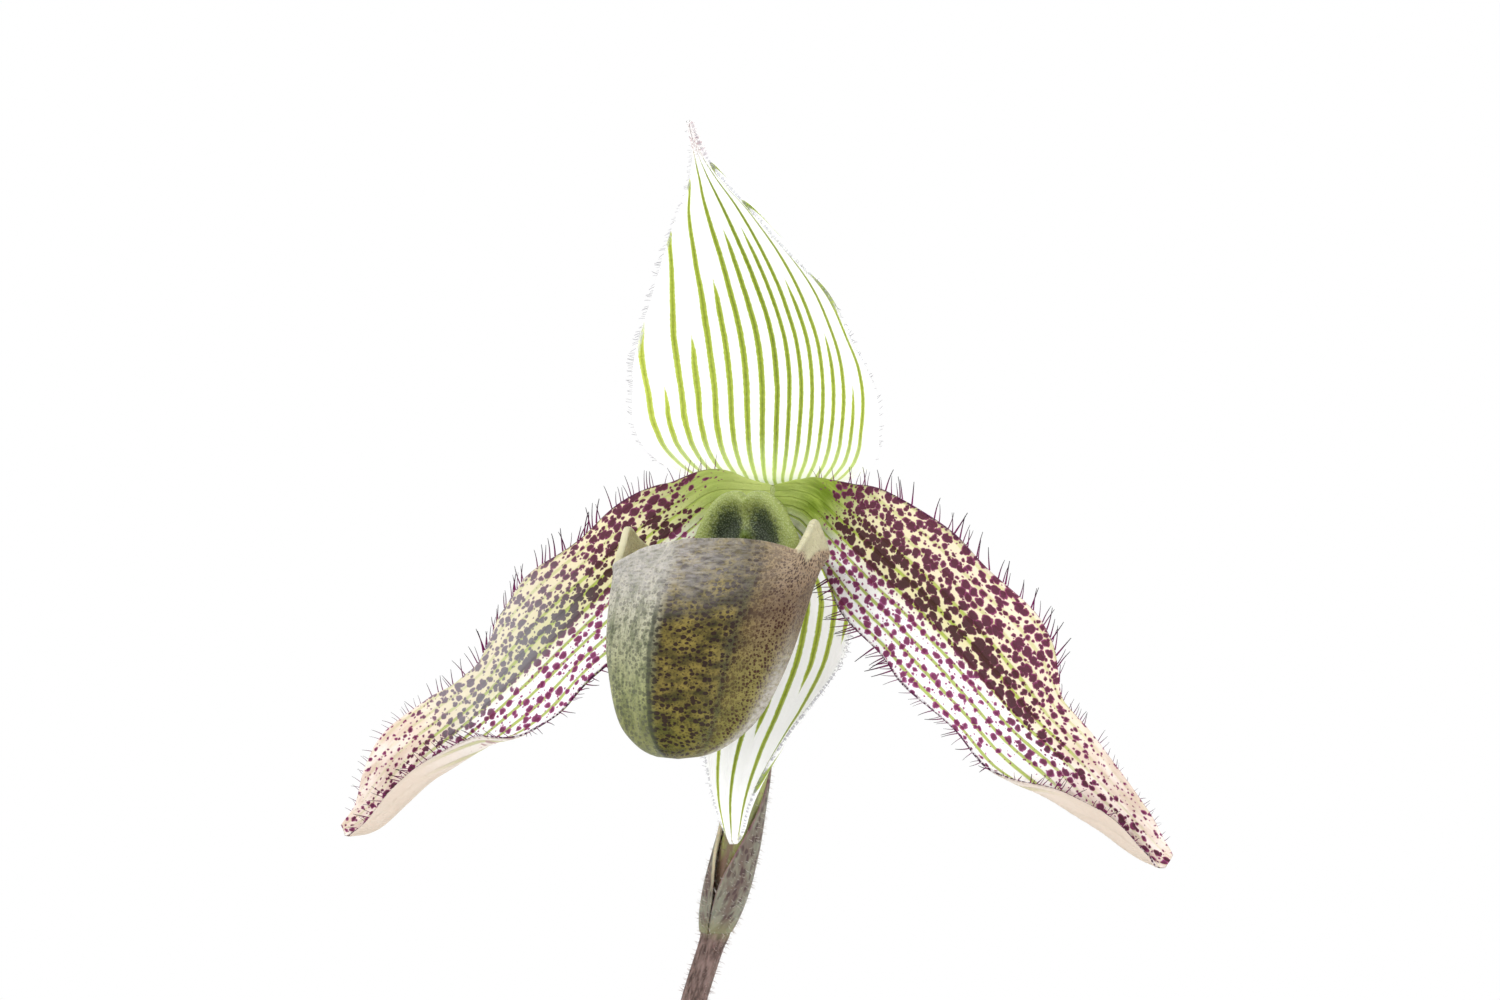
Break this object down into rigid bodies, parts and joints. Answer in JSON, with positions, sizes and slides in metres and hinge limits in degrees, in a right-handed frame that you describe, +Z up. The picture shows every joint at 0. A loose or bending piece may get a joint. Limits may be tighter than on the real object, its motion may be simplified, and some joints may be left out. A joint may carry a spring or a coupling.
{
  "type": "potted slipper orchid",
  "caption": "Potted slipper orchid (Paphiopedilum wardii) with one spotted, fringed bloom on a leaning stalk above a fan of mottled leaves.",
  "frame": {"origin": "centre of the pot's base, on the surface it stands on", "axes": "+Z up; the bloom faces -Y and about 28 degrees to -X; +X to the right as the bloom is seen"},
  "size_m": [0.26, 0.1124, 0.3657],
  "materials": {
    "terracotta": "matt unglazed clay",
    "bark": "rough, dry",
    "mottled_leaf": "satin, dark green marbled on light green",
    "hairy_stalk": "matt, finely hairy",
    "bract_skin": "matt, purple-freckled",
    "ovary_skin": "satin, ribbed",
    "striped_sepal": "satin, white with green veins",
    "spotted_petal": "satin, rose with maroon spots",
    "lip_skin": "waxy satin, olive with maroon specks",
    "column_skin": "waxy, green with darker net"
  },
  "bodies": {
    "root": {"pot": "terracotta", "potting_mix": "bark", "leaf_1": "mottled_leaf", "leaf_2": "mottled_leaf", "leaf_3": "mottled_leaf", "leaf_4": "mottled_leaf", "leaf_5": "mottled_leaf", "leaf_6": "mottled_leaf", "scape": "hairy_stalk", "bract": "bract_skin", "ovary": "ovary_skin", "dorsal_sepal": "striped_sepal", "synsepal": "striped_sepal", "petal_left": "spotted_petal", "petal_right": "spotted_petal", "lip": "lip_skin", "column": "column_skin"}
  },
  "joints": []
}
